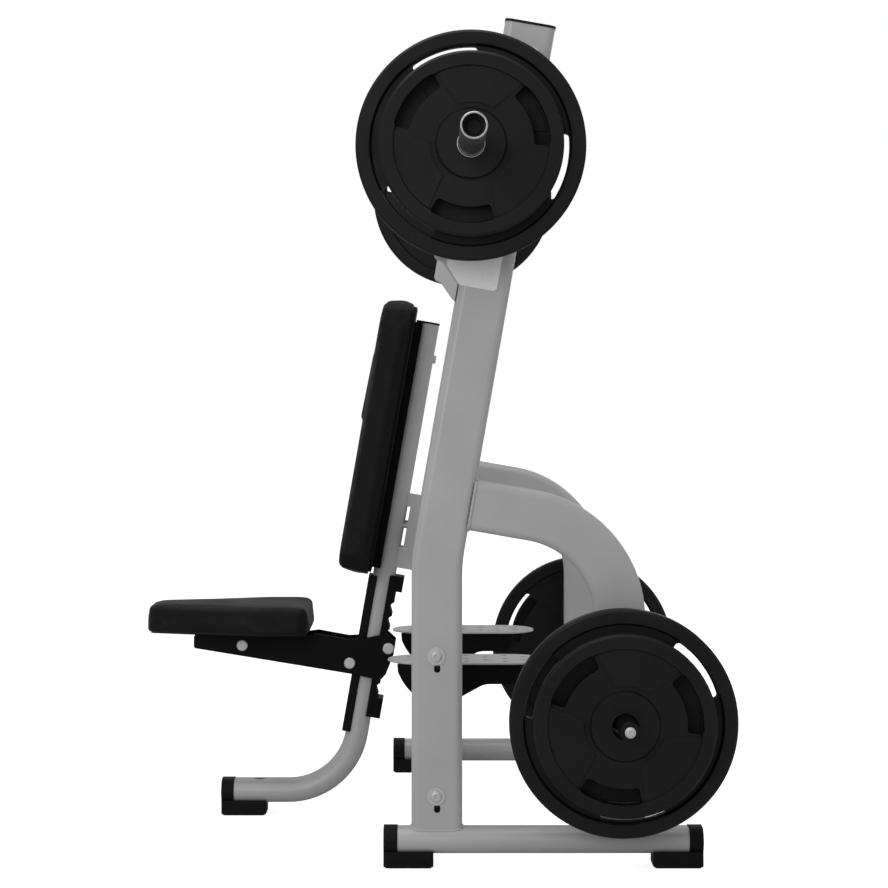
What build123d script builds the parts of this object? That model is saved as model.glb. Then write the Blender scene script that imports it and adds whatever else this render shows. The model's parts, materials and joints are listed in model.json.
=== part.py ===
from build123d import *
from math import cos, degrees, radians, sin, sqrt
import os

# A shoulder-press bench for an Olympic bar: two side frames tied by crossbars, a leaning post
# with a fixed back pad and a seat that climbs a rack, a loaded bar and plates stored on horns.
# Millimetres. +X is the rear of the bench, +Z is up, and the user's left is -Y.

# ---- Driving dimensions ----
side_y = 572.0  # centre plane of each side frame
wall = 3.0  # wall of every frame tube
tube_deep, tube_wide, tube_r = 101.6, 50.8, 15.0  # upright and rear leg tube
oval_wide, oval_high = 76.2, 50.8  # flat-oval tube of the base, post and crossbars
foot_height = 26.6
lean = 9.9  # how far the post and uprights tip back, degrees

base_front, base_rear = -80.0, 559.0  # over the end feet
base_z = foot_height + oval_high / 2
base_top = foot_height + oval_high

upright_x, upright_bend_z, upright_bend_r = 26.9, 612.0, 350.0
upright_length = 1089.0  # from the bend's corner to the top
leg_start, leg_x, leg_bend_r = 121.8, 394.0, 212.0  # leg_start is along the upright from its bend
bolt_heights, bolt_x = (142.0, 422.0), 25.5

post_front, post_corner_x, post_bend_r = -454.0, -175.0, 154.0
post_length = 1061.9  # from the bend's corner to the top

bar_x, bar_z, bar_r, bar_half = 93.0, 1432.0, 14.0, 1100.0
sleeve_r, sleeve_start, collar_start = 25.0, 685.0, 655.0
horn_x, horn_z, horn_r, horn_end = 394.0, 305.5, 19.0, 837.0

large_r, large_thick, small_r, small_thick = 225.0, 40.0, 180.0, 35.0
plate_bore_r, plate_gap = 25.8, 0.3

rack_pitch, valley_r, pin_r = 30.5, 11.3, 10.9
pin_n, pin_t = 37.3, 333.4  # latch pin, behind and along the post's centre line
roller_n, roller_t, roller_r = -41.9, 286.6, 8.2
seat_plate_y, seat_plate_thick = 41.5, 5.0
seat_top, seat_bottom = 472.0, 411.0

lean_sin, lean_cos = sin(radians(lean)), cos(radians(lean))
sides = (("left", -1), ("right", 1))
os.makedirs("parts", exist_ok=True)


# ---- Planes ----
def side_plane(y):
    # faces the user's left: x rearward, y up
    return Plane.XZ.offset(-y)


def leaning_plane(x, z, y):
    # a side plane tipped back with the post: x behind it, y along it
    return Plane(origin=(x, y, z), x_dir=(lean_cos, 0, -lean_sin), z_dir=(0, -1, 0))


def post_plane(y):
    return leaning_plane(post_corner_x, base_z, y)


def upright_plane(y):
    return leaning_plane(upright_x, upright_bend_z, y)


def leaning_point(x, z, behind, along):
    return (x + lean_cos * behind + lean_sin * along, z - lean_sin * behind + lean_cos * along)


def post_point(behind, along):
    return leaning_point(post_corner_x, base_z, behind, along)


def upright_point(behind, along):
    return leaning_point(upright_x, upright_bend_z, behind, along)


def section_plane(point, y=0):
    # square across a leaning tube: x across the bench, y towards the user
    return Plane(origin=(point[0], y, point[1]), x_dir=(0, 1, 0), z_dir=(lean_sin, 0, lean_cos))


def from_to(sign, near, far):
    # side plane and thickness of a slab between two distances from the centre line
    return side_plane(max(sign * near, sign * far)), far - near


def keep(piece, name):
    piece.part.label = name
    export_step(piece.part, f"parts/{name}.step")


# ---- Tube sections ----
def oval_ring():
    SlotOverall(oval_wide, oval_high)
    SlotOverall(oval_wide - 2 * wall, oval_high - 2 * wall, mode=Mode.SUBTRACT)


def box_ring():
    RectangleRounded(tube_deep, tube_wide, tube_r)
    RectangleRounded(tube_deep - 2 * wall, tube_wide - 2 * wall, tube_r - wall, mode=Mode.SUBTRACT)


# ---- Base ----
cap_depth, cap_lip, cap_skin, pad_length, tread = 28.0, 1.6, 6.0, 100.0, 3.0
anchor_x, anchor_r, access_r = -369.0, 6.75, 12.5


def end_foot(name, x_end, inward, y, anchored=False):
    # moulded cap over a flat-oval tube end, with a floor pad below it
    with BuildPart() as foot:
        with BuildSketch(Plane.YZ.offset(x_end)):
            with Locations((y, base_z)):
                SlotOverall(oval_wide + 2 * cap_lip, oval_high + 2 * cap_lip)
        extrude(amount=inward * cap_depth)
        with BuildSketch(Plane.XY.offset(tread)):
            with Locations((x_end + inward * pad_length / 2, y)):
                RectangleRounded(pad_length, oval_wide, 6)
        extrude(amount=foot_height + 6 - tread)
        with BuildSketch():
            with Locations((x_end + inward * pad_length / 2, y)):
                RectangleRounded(pad_length - 8, oval_wide - 8, 5)
        extrude(amount=tread)
        with BuildSketch(Plane.YZ.offset(x_end + inward * cap_skin)):
            with Locations((y, base_z)):
                SlotOverall(oval_wide, oval_high)
        extrude(amount=inward * pad_length, mode=Mode.SUBTRACT)
        if anchored:
            with BuildSketch():
                with Locations((anchor_x, y)):
                    Circle(anchor_r)
            extrude(amount=foot_height + 6, mode=Mode.SUBTRACT)
    keep(foot, name)


for side, sign in sides:
    with BuildPart() as base_tube:
        with BuildSketch(Plane.YZ.offset(base_front + cap_skin)):
            with Locations((sign * side_y, base_z)):
                oval_ring()
        extrude(amount=base_rear - base_front - 2 * cap_skin)
    keep(base_tube, f"base_tube_{side}")
    end_foot(f"front_foot_{side}", base_front, 1, sign * side_y)
    end_foot(f"rear_foot_{side}", base_rear, -1, sign * side_y)
end_foot("post_foot", post_front, 1, 0, anchored=True)


# ---- Uprights and rear legs ----
bolt_hole_r, tab_slot, tab_slot_r = 6.5, (12.6, 15.6), 5.5
tab_behind, tab_drop = 2.0, 25.0  # tab slot from its bolt
cope = 12.0  # how far a leg laps the rounded base tube before it is cut to fit
upright_top = upright_point(0, upright_length)
leg_root = upright_point(tube_deep / 2, leg_start)
leg_corner_along = (leg_x - upright_point(0, leg_start)[0]) / lean_cos
leg_corner = upright_point(leg_corner_along, leg_start)


def cut_base_tube(sign):
    with BuildSketch(Plane.YZ.offset(base_front)) as tube_outline:
        with Locations((sign * side_y, base_z)):
            SlotOverall(oval_wide, oval_high)
    extrude(tube_outline.sketch, amount=base_rear - base_front, mode=Mode.SUBTRACT)


for side, sign in sides:
    with BuildPart() as upright:
        with BuildLine(side_plane(sign * side_y)):
            FilletPolyline(
                (upright_x, base_top - cope), (upright_x, upright_bend_z), upright_top, radius=upright_bend_r
            )
        with BuildSketch(Plane.XY.offset(base_top - cope)):
            with Locations((upright_x, sign * side_y)):
                box_ring()
        sweep()
        cut_base_tube(sign)
        with BuildSketch(side_plane(sign * side_y)):
            with Locations(*[(bolt_x, z) for z in bolt_heights]):
                Circle(bolt_hole_r)
        extrude(amount=tube_wide, both=True, mode=Mode.SUBTRACT)
        plane, thick = from_to(sign, side_y + tube_wide / 2 - wall, side_y + tube_wide / 2)
        with BuildSketch(plane):
            with Locations(*[(bolt_x + tab_behind, z - tab_drop) for z in bolt_heights]):
                RectangleRounded(*tab_slot, tab_slot_r)
        extrude(amount=thick, mode=Mode.SUBTRACT)
    keep(upright, f"upright_{side}")

    with BuildPart() as rear_leg:
        with BuildLine(side_plane(sign * side_y)):
            FilletPolyline(leg_root, leg_corner, (leg_x, base_top - cope), radius=leg_bend_r)
        root_plane = Plane(
            origin=(leg_root[0], sign * side_y, leg_root[1]),
            x_dir=(lean_sin, 0, lean_cos),
            z_dir=(lean_cos, 0, -lean_sin),
        )
        with BuildSketch(root_plane):
            box_ring()
        sweep()
        cut_base_tube(sign)
    keep(rear_leg, f"rear_leg_{side}")

with BuildPart() as upright_caps:
    for side, sign in sides:
        with BuildSketch(section_plane(upright_top, sign * side_y)):
            RectangleRounded(tube_wide + 1.6, tube_deep + 1.6, tube_r + 0.8)
        extrude(amount=5)
        with BuildSketch(section_plane(upright_top, sign * side_y)):
            RectangleRounded(tube_wide - 2 * wall, tube_deep - 2 * wall, tube_r - wall)
        extrude(amount=-15)
keep(upright_caps, "upright_caps")


# ---- Crossbars ----
inner_face = side_y - tube_wide / 2
flange_thick, flange_deep = 6.0, 68.0
crossbars = {  # tube centre height, flange foot, flange top, bolt height
    "lower_crossbar": (104.0, 80.0, 162.0, bolt_heights[0]),
    "step_crossbar": (352.6, 322.0, 446.0, bolt_heights[1]),
}
for name, (tube_z, low, high, bolt_z) in crossbars.items():
    with BuildPart() as crossbar:
        with BuildSketch(side_plane(inner_face - flange_thick)):
            with Locations((bolt_x, tube_z)):
                oval_ring()
        extrude(amount=2 * (inner_face - flange_thick))
        for side, sign in sides:
            plane, thick = from_to(sign, inner_face - flange_thick, inner_face)
            with BuildSketch(plane):
                with Locations((bolt_x, (low + high) / 2)):
                    RectangleRounded(flange_deep, high - low, 8)
                with Locations((bolt_x, bolt_z)):
                    Circle(bolt_hole_r, mode=Mode.SUBTRACT)
            extrude(amount=thick)
    keep(crossbar, name)

back_bar_deep, back_bar_high, back_bar_x, back_bar_z = 50.8, 101.6, 27.0, 628.0
with BuildPart() as back_crossbar:
    with BuildSketch(side_plane(inner_face)):
        with Locations((back_bar_x, back_bar_z)):
            RectangleRounded(back_bar_deep, back_bar_high, tube_r)
            RectangleRounded(
                back_bar_deep - 2 * wall, back_bar_high - 2 * wall, tube_r - wall, mode=Mode.SUBTRACT
            )
    extrude(amount=2 * inner_face)
keep(back_crossbar, "back_crossbar")

washer_r, washer_thick, head_r, head_thick, shank_r = 18.0, 3.0, 11.0, 4.0, 6.2
nut_r, nut_thick, thread_out = 11.0, 11.0, 3.0
outer_face = side_y + tube_wide / 2
nut_face = inner_face - flange_thick
bolt_spots = [(bolt_x, z) for z in bolt_heights]
with BuildPart() as frame_bolts:
    for side, sign in sides:
        for radius, near, far in (
            (washer_r, outer_face, outer_face + washer_thick),
            (head_r, outer_face + washer_thick, outer_face + washer_thick + head_thick),
            (shank_r, nut_face - nut_thick - thread_out, outer_face),
        ):
            plane, thick = from_to(sign, near, far)
            with BuildSketch(plane):
                with Locations(*bolt_spots):
                    Circle(radius)
            extrude(amount=thick)
        plane, thick = from_to(sign, nut_face - nut_thick, nut_face)
        with BuildSketch(plane):
            with Locations(*bolt_spots):
                RegularPolygon(nut_r, 6)
        extrude(amount=thick)
keep(frame_bolts, "frame_bolts")


# ---- Spotter steps ----
step_in, step_out, step_front, step_rear = 216.0, 376.0, -77.0, 256.0
step_top, step_thick, step_end_r, hole_r = 382.0, 4.0, 78.0, 7.0
hole_pitch_x, hole_pitch_y = 81.0, 52.0
step_bottom = step_top - step_thick
step_x = (step_front + step_rear) / 2
for side, sign in sides:
    with BuildPart() as step_plate:
        with BuildSketch(Plane.XY.offset(step_bottom)):
            with Locations((step_x, sign * (step_in + step_out) / 2)):
                RectangleRounded(step_rear - step_front, step_out - step_in, step_end_r)
                with GridLocations(hole_pitch_x, hole_pitch_y, 4, 2):
                    Circle(hole_r, mode=Mode.SUBTRACT)
                with GridLocations(hole_pitch_x, hole_pitch_y, 3, 3):
                    Circle(hole_r, mode=Mode.SUBTRACT)
        extrude(amount=step_thick)
        edge_loop = step_plate.faces().sort_by(Axis.Z)[-1].outer_wire().edges()
        chamfer(edge_loop, 1)
    keep(step_plate, f"step_plate_{side}")

bracket_ys, bracket_thick = (233.0, 359.0), 6.0
with BuildPart() as step_brackets:
    for side, sign in sides:
        for y in bracket_ys:
            plane, thick = from_to(sign, y - bracket_thick / 2, y + bracket_thick / 2)
            with BuildSketch(plane):
                with BuildLine():
                    Polyline((205, step_bottom), (-56, step_bottom), (-55, 362))
                    Spline((-55, 362), (-44, 340), (-25, 317), (16, 293), (56, 297))
                    Polyline((56, 297), (118, 331))
                    Spline((118, 331), (128, 334.5), (140, 335.6))
                    Polyline((140, 335.6), (190, 335.6), (202, 347), (205, step_bottom))
                make_face()
                with Locations((bolt_x, 352.6)):
                    SlotOverall(oval_wide, oval_high, mode=Mode.SUBTRACT)
            extrude(amount=thick)
keep(step_brackets, "step_brackets")


# ---- Bar catches ----
catch_reach = 60.0  # how far the housing stands in front of the upright
front_n = -tube_deep / 2
catch_skin, catch_r, liner_r = 5.0, 20.0, 15.0
bar_along = (bar_x - upright_x) * lean_sin + (bar_z - upright_bend_z) * lean_cos
bar_behind = (bar_x - upright_x) * lean_cos - (bar_z - upright_bend_z) * lean_sin
low_along = bar_along - 150.0  # second, lower catch
lip = 26.0  # height of a catch's lip above the bar's centre
catch_foot = bar_along - 266.5


def catch_outline():
    reach = front_n - catch_reach
    with BuildLine() as outline:
        Polyline(
            (front_n, catch_foot), (front_n - 9, catch_foot + 7), (front_n - 41, catch_foot + 39),
            (front_n - 55, catch_foot + 43), (reach, catch_foot + 50), (reach, catch_foot + 66),
            (reach, bar_along + lip - 8), (reach + 8, bar_along + lip), (front_n, bar_along + lip),
            close=True,
        )  # fmt: skip
    make_face(outline.edges())


def catch_slots(radius):
    # straight-sided seats: the upper one is open above, the lower one towards the user
    width = 2 * radius
    for along, rise in ((bar_along, lip + 10), (low_along, 46.0)):
        with Locations((bar_behind, along)):
            Circle(radius, mode=Mode.SUBTRACT)
        with Locations((bar_behind, along + rise / 2)):
            Rectangle(width, rise, mode=Mode.SUBTRACT)
    with Locations((bar_behind - 40, low_along + 36)):
        Rectangle(80, 40, mode=Mode.SUBTRACT)


for side, sign in sides:
    with BuildPart() as catch_housing:
        with BuildSketch(upright_plane(sign * side_y)):
            catch_outline()
            catch_slots(catch_r)
        extrude(amount=tube_wide / 2, both=True)
        with BuildSketch(upright_plane(sign * side_y)):
            with BuildLine():
                Polyline(
                    (front_n, catch_foot + 10), (front_n - 39, catch_foot + 47),
                    (front_n - catch_reach + catch_skin, catch_foot + 53),
                    (front_n - catch_reach + catch_skin, bar_along + lip), (front_n, bar_along + lip),
                    close=True,
                )  # fmt: skip
            make_face()
        extrude(amount=tube_wide / 2 - catch_skin, both=True, mode=Mode.SUBTRACT)
    keep(catch_housing, f"catch_housing_{side}")

with BuildPart() as catch_liners:
    for side, sign in sides:
        with BuildSketch(upright_plane(sign * side_y)):
            for along, high in ((bar_along, lip - 2), (low_along, 14.0)):
                with Locations((front_n - (catch_reach - catch_skin) / 2, along + (high - 44) / 2)):
                    Rectangle(catch_reach - catch_skin, high + 44)
            catch_slots(liner_r)
        extrude(amount=tube_wide / 2 - catch_skin, both=True)
keep(catch_liners, "catch_liners")

panel_thick, panel_inset = 4.0, 26.0
panel_low, panel_high = bar_along - 268.0, bar_along + 224.0
for side, sign in sides:
    with BuildPart() as catch_panel:
        with BuildSketch(upright_plane(max(sign * outer_face, sign * (outer_face + panel_thick)))) as panel:
            with BuildLine():
                Polyline(
                    (-front_n - panel_inset, panel_low), (front_n + 1, panel_low),
                    (front_n - 32, panel_low + 36), (front_n - 32, low_along - 28),
                    (front_n + 8, low_along - 28), (front_n + 8, panel_high),
                    (-front_n - panel_inset, panel_high), close=True,
                )  # fmt: skip
            make_face()
            fillet(panel.vertices(), 8)
        extrude(amount=panel_thick)
    keep(catch_panel, f"catch_panel_{side}")


# ---- Post ----
post_top = post_point(0, post_length)
rear_bolt_along = (610.0, 985.0)  # back pad bolts
pad_bolt_r, pad_hole_r = 5.0, 5.4
with BuildPart() as seat_post:
    with BuildLine(side_plane(0)):
        FilletPolyline(
            (post_front + cap_skin, base_z), (post_corner_x, base_z), post_top, radius=post_bend_r
        )
    with BuildSketch(Plane.YZ.offset(post_front + cap_skin)):
        with Locations((0, base_z)):
            oval_ring()
    sweep()
    with BuildSketch(Plane.XY.offset(base_z)):
        with Locations((anchor_x, 0)):
            Circle(access_r)
    extrude(amount=oval_high, mode=Mode.SUBTRACT)
    with BuildSketch(Plane.XY.offset(base_z)):
        with Locations((anchor_x, 0)):
            Circle(9)
    extrude(amount=-oval_high, mode=Mode.SUBTRACT)
    for along in rear_bolt_along:
        hole_plane = Plane(
            origin=(post_point(0, along)[0], 0, post_point(0, along)[1]), z_dir=(lean_cos, 0, -lean_sin)
        )
        with BuildSketch(hole_plane):
            Circle(pad_hole_r)
        extrude(amount=oval_high, both=True, mode=Mode.SUBTRACT)
keep(seat_post, "seat_post")

with BuildPart() as post_cap:
    with BuildSketch(section_plane(post_top)):
        SlotOverall(oval_wide + 1.6, oval_high + 1.6)
    extrude(amount=4)
    with BuildSketch(section_plane(post_top)):
        SlotOverall(oval_wide - 2 * wall, oval_high - 2 * wall)
    extrude(amount=-14)
keep(post_cap, "post_cap")

half_oval = oval_high / 2


def cut_post(along, length):
    with BuildSketch(section_plane(post_point(0, along))) as post_outline:
        SlotOverall(oval_wide, oval_high)
    extrude(post_outline.sketch, amount=length, mode=Mode.SUBTRACT)


guide_low, guide_high, guide_face, guide_wrap = 134.5, 486.0, 8.0, 11.0
guide_front = -half_oval - guide_face
with BuildPart() as front_guide:
    with BuildSketch(section_plane(post_point(0, guide_low))):
        # in this plane y points towards the user
        with Locations((0, (half_oval - guide_wrap - guide_front) / 2)):
            RectangleRounded(76, -guide_front - half_oval + guide_wrap, 4)
    extrude(amount=guide_high - guide_low)
    cut_post(guide_low, guide_high - guide_low)
keep(front_guide, "front_guide")

# Rack: each valley is an arc that the pin rests in, and its lower flank slopes with the pin's
# path as the seat tips about the roller, so that tipping the nose up frees the pin.
rack_low, rack_high, block_low, block_high = 174.5, 493.6, 219.0, 460.0
tip_n, block_n, rack_wrap, rack_wide = 33.0, 45.6, 12.0, 72.0
flank = 25.5  # degrees from the post's line
flank_start = (pin_n - valley_r * cos(radians(flank)), -valley_r * sin(radians(flank)))
flank_drop = (tip_n - flank_start[0]) / sin(radians(flank)) * cos(radians(flank))
tip_rise = sqrt(valley_r**2 - (pin_n - tip_n) ** 2)
valleys = [pin_t + k * rack_pitch for k in range(-3, 4)]
with BuildPart() as seat_rack:
    with BuildSketch(post_plane(rack_wide / 2)):
        with BuildLine():
            points = [(half_oval - rack_wrap, rack_low), (block_n, rack_low), (block_n, block_low)]
            points += [(tip_n, block_low)]
            for t in valleys:
                foot = (tip_n, t + flank_start[1] - flank_drop)
                Polyline(*points, foot, (flank_start[0], t + flank_start[1]))
                ThreePointArc(
                    (flank_start[0], t + flank_start[1]), (pin_n - valley_r, t), (tip_n, t + tip_rise)
                )
                points = [(tip_n, t + tip_rise)]
            Polyline(
                *points, (tip_n, block_high), (block_n, block_high), (block_n, rack_high),
                (half_oval - rack_wrap, rack_high), (half_oval - rack_wrap, rack_low),
            )  # fmt: skip
        make_face()
    extrude(amount=rack_wide)
    cut_post(rack_low - 5, rack_high - rack_low + 10)
keep(seat_rack, "seat_rack")

bracket_low, bracket_high, bracket_half, notch = 512.8, 679.3, 25.4, 6.0
with BuildPart() as post_bracket:
    with BuildSketch(post_plane(bracket_half)):
        with BuildLine():
            Polyline(
                (half_oval - 8, bracket_low), (78, bracket_low), (78, bracket_high),
                (half_oval - 8, bracket_high), close=True,
            )  # fmt: skip
        make_face()
        for low, high in ((559.8, 605.5), (611.6, 651.2)):
            with Locations((half_oval - 8 + (8 + notch) / 2, (low + high) / 2)):
                Rectangle(8 + notch, high - low, mode=Mode.SUBTRACT)
    extrude(amount=2 * bracket_half)
    with BuildSketch(post_plane(bracket_half - 6)):
        with Locations((40, (bracket_low + bracket_high) / 2)):
            Rectangle(100, bracket_high - bracket_low - 12)
    extrude(amount=2 * bracket_half - 12, mode=Mode.SUBTRACT)
    with BuildSketch(side_plane(bracket_half)):
        with Locations((back_bar_x - back_bar_deep / 2 + 100, back_bar_z)):
            Rectangle(200, 400)
    extrude(amount=2 * bracket_half, mode=Mode.SUBTRACT)
    cut_post(bracket_low - 20, bracket_high - bracket_low + 40)
keep(post_bracket, "post_bracket")


# ---- Back pad ----
pad_face_n, pad_rear_n, board_thick = -102.0, -40.0, 12.0
pad_low, pad_high, pad_wide = 492.0, 1100.0, 296.0
channel_low, channel_high, channel_thick, channel_wrap = 506.0, 1061.0, 4.0, 18.5
board_rear_n = -half_oval - channel_thick
board_front_n = board_rear_n - board_thick
pad_mid = (pad_low + pad_high) / 2


def facing_plane(behind):
    # faces rearward, square to the post's front: x across the bench, y up the post
    x, z = post_point(behind, pad_mid)
    return Plane(origin=(x, 0, z), x_dir=(0, 1, 0), z_dir=(lean_cos, 0, -lean_sin))


with BuildPart() as back_pad:
    with BuildSketch(facing_plane(pad_face_n)):
        RectangleRounded(pad_wide, pad_high - pad_low, 38)
    extrude(amount=board_front_n + 6 - pad_face_n)
    front_edges = back_pad.faces().sort_by(Axis((0, 0, 0), (lean_cos, 0, -lean_sin)))[0].edges()
    fillet(front_edges, 16)
    with BuildSketch(facing_plane(board_front_n)):
        RectangleRounded(pad_wide - 16, pad_high - pad_low - 16, 30)
    extrude(amount=20, mode=Mode.SUBTRACT)
keep(back_pad, "back_pad")

with BuildPart() as back_board:
    with BuildSketch(facing_plane(board_front_n)):
        RectangleRounded(pad_wide - 16, pad_high - pad_low - 16, 30)
        with Locations(*[(0, along - pad_mid) for along in rear_bolt_along]):
            Circle(pad_hole_r, mode=Mode.SUBTRACT)
    extrude(amount=board_thick)
keep(back_board, "back_board")

with BuildPart() as back_channel:
    with BuildSketch(section_plane(post_point(0, channel_low))):
        low_edge = half_oval + channel_thick - channel_wrap
        with Locations((0, (low_edge + half_oval + channel_thick) / 2)):
            Rectangle(oval_wide + 2 * channel_thick, half_oval + channel_thick - low_edge)
        SlotOverall(oval_wide, oval_high, mode=Mode.SUBTRACT)
    extrude(amount=channel_high - channel_low)
    with BuildSketch(facing_plane(board_rear_n)):
        with Locations(*[(0, along - pad_mid) for along in rear_bolt_along]):
            Circle(pad_hole_r)
    extrude(amount=20, mode=Mode.SUBTRACT)
keep(back_channel, "back_channel")

with BuildPart() as back_bolts:
    spots = [(0, along - pad_mid) for along in rear_bolt_along]
    for radius, near, far in ((pad_bolt_r, board_front_n + 1, half_oval), (9.0, half_oval, half_oval + 6)):
        with BuildSketch(facing_plane(near)):
            with Locations(*spots):
                Circle(radius)
        extrude(amount=far - near)
keep(back_bolts, "back_bolts")


# ---- Seat: roller, arm plates and pad ----
roller_point = post_point(roller_n, roller_t)
pin_point = post_point(pin_n, pin_t)
seat_bolt_point = (-406.0, 381.5)
pin_core_r, button_r, button_thick = 6.0, 12.5, 6.0
plate_outer = seat_plate_y + seat_plate_thick
holes = (roller_point, pin_point, seat_bolt_point)
for side, sign in sides:
    with BuildPart() as seat_plate:
        plane, thick = from_to(sign, seat_plate_y, plate_outer)
        with BuildSketch(plane) as outline:
            with BuildLine():
                Polyline(
                    (-514, 404), (-262, 404), (-240, 407), (-171, 394.5), (-138, 396), (-85, 406.5),
                    (-64.5, 387.5), (-69, 360.5), (-86, 317), (-98.7, 303), (-161.4, 317), (-514, 375),
                    close=True,
                )  # fmt: skip
            make_face()
            fillet(outline.vertices(), 5)
            with Locations(*holes):
                Circle(pin_core_r + 0.05, mode=Mode.SUBTRACT)
        extrude(amount=thick)
    keep(seat_plate, f"seat_plate_{side}")


def cross_rod(piece_name, point, body_r, body_half, core_half):
    # a rod across the arm with a button head outside each plate
    with BuildPart() as rod:
        for radius, half in ((body_r, body_half), (pin_core_r, core_half)):
            with BuildSketch(side_plane(half)):
                with Locations(point):
                    Circle(radius)
            extrude(amount=2 * half)
        for side, sign in sides:
            plane, thick = from_to(sign, core_half, core_half + button_thick)
            with BuildSketch(plane):
                with Locations(point):
                    Circle(button_r)
            extrude(amount=thick)
        ends = rod.faces().filter_by(Plane.XZ).sort_by(Axis.Y)
        fillet([*ends[0].edges(), *ends[-1].edges()], 3)
    keep(rod, piece_name)


cross_rod("latch_pin", pin_point, pin_r, seat_plate_y, plate_outer)
cross_rod("seat_bolt", seat_bolt_point, 9.5, seat_plate_y, plate_outer)
cross_rod("roller_axle", roller_point, pin_core_r, plate_outer + 0.3, plate_outer + 0.3)

with BuildPart() as front_roller:
    with BuildSketch(side_plane(36)):
        with Locations(roller_point):
            Circle(roller_r)
            Circle(pin_core_r + 0.05, mode=Mode.SUBTRACT)
    extrude(amount=72)
keep(front_roller, "front_roller")

pad_nose, pad_rear, nose_half, rear_half = -619.0, -254.0, 60.0, 146.0
rear_straight = 108.0  # length of the pad that keeps its full width
board_inset, board_low = 9.0, 409.0
with BuildPart() as seat_bracket:
    with BuildSketch(Plane.XY.offset(404)):
        with Locations((-388, 0)):
            Rectangle(248, 2 * plate_outer)
    extrude(amount=board_low - 404)
keep(seat_bracket, "seat_bracket")


def seat_outline(inset):
    # a kite with a blunt nose, widest at the rear
    with BuildLine() as outline:
        Polyline(
            (pad_rear - inset, rear_half - inset), (pad_rear - rear_straight, rear_half - inset),
            (pad_nose + inset, nose_half - inset), (pad_nose + inset, inset - nose_half),
            (pad_rear - rear_straight, inset - rear_half), (pad_rear - inset, inset - rear_half),
            close=True,
        )  # fmt: skip
    make_face(outline.edges())


with BuildPart() as seat_pad:
    with BuildSketch(Plane.XY.offset(seat_bottom)) as pad_outline:
        seat_outline(0)
        fillet(pad_outline.vertices(), 22)
    extrude(amount=seat_top - seat_bottom)
    fillet(seat_pad.faces().sort_by(Axis.Z)[-1].edges(), 12)
    with BuildSketch(Plane.XY.offset(seat_bottom)) as board_outline:
        seat_outline(board_inset)
        fillet(board_outline.vertices(), 16)
    extrude(amount=board_low + 12 - seat_bottom, mode=Mode.SUBTRACT)
keep(seat_pad, "seat_pad")

with BuildPart() as seat_board:
    with BuildSketch(Plane.XY.offset(board_low)) as board_outline:
        seat_outline(board_inset)
        fillet(board_outline.vertices(), 16)
    extrude(amount=12)
keep(seat_board, "seat_board")


# ---- Bar ----
spindle_end, recess_r, collar_r, bush_gap = 1058.0, 21.5, 37.0, 0.05


def turned(points, axis_x, axis_z):
    # a turned piece from its half section: distance from the axis, distance across the bench
    with BuildSketch(Plane(origin=(axis_x, 0, axis_z))) as half_section:
        with BuildLine():
            Polyline(*points, close=True)
        make_face()
    revolve(half_section.sketch, axis=Axis((axis_x, 0, axis_z), (0, 1, 0)))


with BuildPart() as bar_shaft:
    turned(
        [(0, -spindle_end), (bar_r, -spindle_end), (bar_r, spindle_end), (0, spindle_end)], bar_x, bar_z
    )
keep(bar_shaft, "bar_shaft")

for side, sign in sides:
    with BuildPart() as sleeve:
        profile = (
            (bar_r + bush_gap, collar_start), (collar_r - 2, collar_start), (collar_r, collar_start + 2),
            (collar_r, sleeve_start - 2), (collar_r - 2, sleeve_start), (sleeve_r, sleeve_start),
            (sleeve_r, bar_half - 1), (sleeve_r - 1, bar_half), (recess_r, bar_half),
            (recess_r, spindle_end + 4), (bar_r + bush_gap, spindle_end + 4),
        )  # fmt: skip
        turned([(r, sign * y) for r, y in profile], bar_x, bar_z)
    keep(sleeve, f"sleeve_{side}")
    with BuildPart() as sleeve_plug:
        profile = (
            (0, spindle_end + 5), (recess_r, spindle_end + 5), (recess_r, spindle_end + 18),
            (recess_r - 6, spindle_end + 18), (recess_r - 8, spindle_end + 14), (0, spindle_end + 14),
        )  # fmt: skip
        turned([(r, sign * y) for r, y in profile], bar_x, bar_z)
    keep(sleeve_plug, f"sleeve_plug_{side}")


# ---- Storage horns ----
for side, sign in sides:
    with BuildPart() as horn:
        profile = (
            (0, outer_face), (30, outer_face), (30, outer_face + 5), (horn_r, outer_face + 8),
            (horn_r, horn_end - 6), (0, horn_end - 6),
        )  # fmt: skip
        turned([(r, sign * y) for r, y in profile], horn_x, horn_z)
    keep(horn, f"storage_horn_{side}")

with BuildPart() as horn_caps:
    for side, sign in sides:
        profile = ((0, horn_end - 6), (horn_r, horn_end - 6), (horn_r, horn_end - 2))
        profile += ((horn_r - 1, horn_end), (0, horn_end))
        turned([(r, sign * y) for r, y in profile], horn_x, horn_z)
keep(horn_caps, "horn_caps")

with BuildPart() as horn_bolts:
    for side, sign in sides:
        profile = ((0, horn_end), (10.5, horn_end), (10.5, horn_end + 4), (8, horn_end + 6), (0, horn_end + 6))
        turned([(r, sign * y) for r, y in profile], horn_x, horn_z)
keep(horn_bolts, "horn_bolts")


# ---- Weight plates ----
def polar(radius, angle):
    return (radius * cos(radians(angle)), radius * sin(radians(angle)))


def ring_sector(inner_r, outer_r, middle, inner_half, outer_half):
    # two arcs joined by straight sides, drawn in the line that is open
    inner = CenterArc((0, 0), inner_r, middle - inner_half, 2 * inner_half)
    outer = CenterArc((0, 0), outer_r, middle - outer_half, 2 * outer_half)
    Line(inner @ 0, outer @ 0)
    Line(inner @ 1, outer @ 1)


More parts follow.
